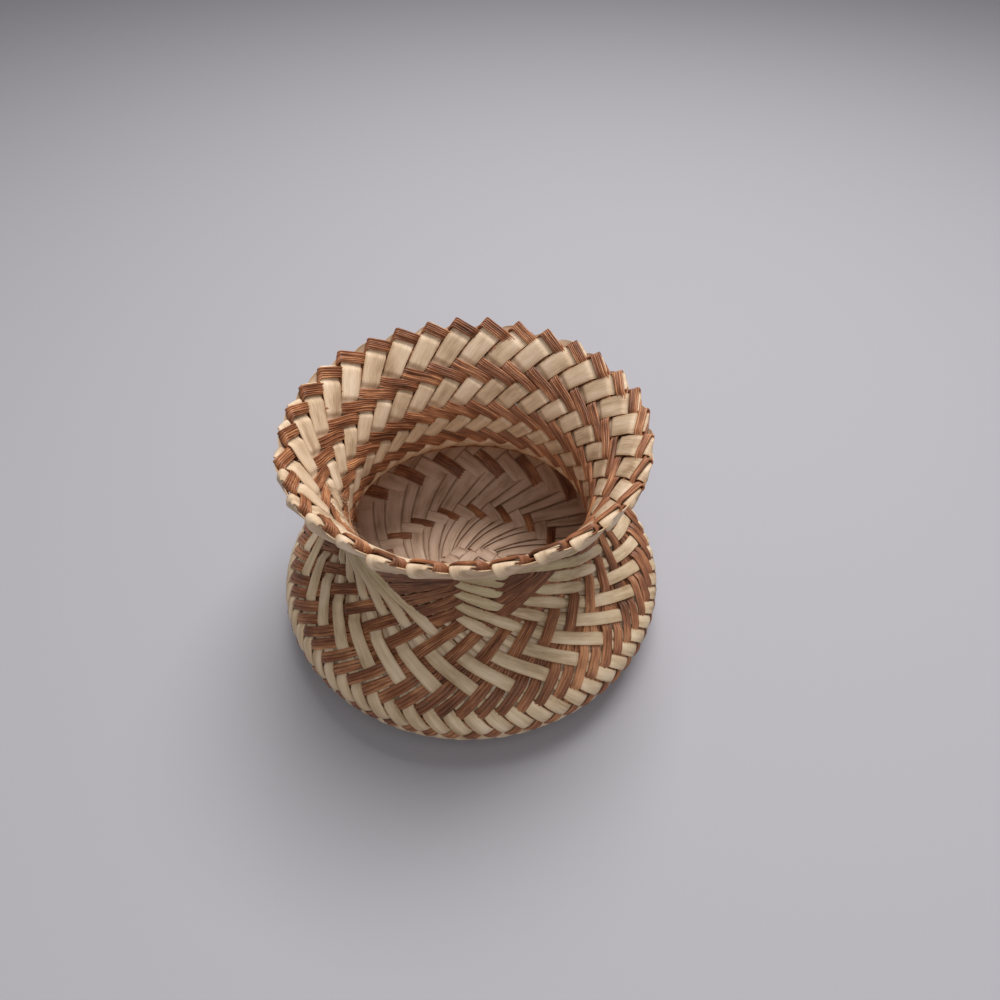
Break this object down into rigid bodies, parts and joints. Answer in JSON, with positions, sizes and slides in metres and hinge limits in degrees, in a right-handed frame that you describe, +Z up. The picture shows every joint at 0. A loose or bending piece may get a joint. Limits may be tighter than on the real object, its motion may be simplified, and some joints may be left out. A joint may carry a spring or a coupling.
{
  "type": "pine needle vase basket",
  "caption": "Small vase-shaped basket woven from pale palm leaf strips and brown pine needle bundles, with a flared mouth and a toothed rim.",
  "frame": {"origin": "middle of the underside, on the surface that the basket stands on", "axes": "+Z up through the mouth; X and Y are level and alike, since the form is round"},
  "size_m": [0.1666, 0.1666, 0.108],
  "materials": {
    "palm": "dry split palm leaf, satin",
    "needle": "dry pine needles, satin"
  },
  "bodies": {
    "root": {"base_mat": "palm", "inner_floor": "palm", "inner_belly_lower": "palm", "inner_belly_upper": "palm", "inner_shoulder_lower": "palm", "inner_shoulder_upper": "palm", "inner_neck": "palm", "flare_throat": "palm", "flare_lining": "palm", "palm_strip_01": "palm", "palm_strip_02": "palm", "palm_strip_03": "palm", "palm_strip_04": "palm", "palm_strip_05": "palm", "palm_strip_06": "palm", "palm_strip_07": "palm", "palm_strip_08": "palm", "palm_strip_09": "palm", "palm_strip_10": "palm", "palm_strip_11": "palm", "palm_strip_12": "palm", "palm_strip_13": "palm", "palm_strip_14": "palm", "palm_strip_15": "palm", "palm_strip_16": "palm", "palm_strip_17": "palm", "palm_strip_18": "palm", "palm_strip_19": "palm", "palm_strip_20": "palm", "palm_strip_21": "palm", "palm_strip_22": "palm", "palm_strip_23": "palm", "palm_strip_24": "palm", "palm_strip_25": "palm", "palm_strip_26": "palm", "palm_strip_27": "palm", "palm_strip_28": "palm", "palm_strip_29": "palm", "palm_strip_30": "palm", "palm_strip_31": "palm", "palm_strip_32": "palm", "needle_pair_01": "needle", "needle_pair_02": "needle", "needle_pair_03": "needle", "needle_pair_04": "needle", "needle_pair_05": "needle", "needle_pair_06": "needle", "needle_pair_07": "needle", "needle_pair_08": "needle", "needle_pair_09": "needle", "needle_pair_10": "needle", "needle_pair_11": "needle", "needle_pair_12": "needle", "needle_pair_13": "needle", "needle_pair_14": "needle", "needle_pair_15": "needle", "needle_pair_16": "needle"}
  },
  "joints": []
}
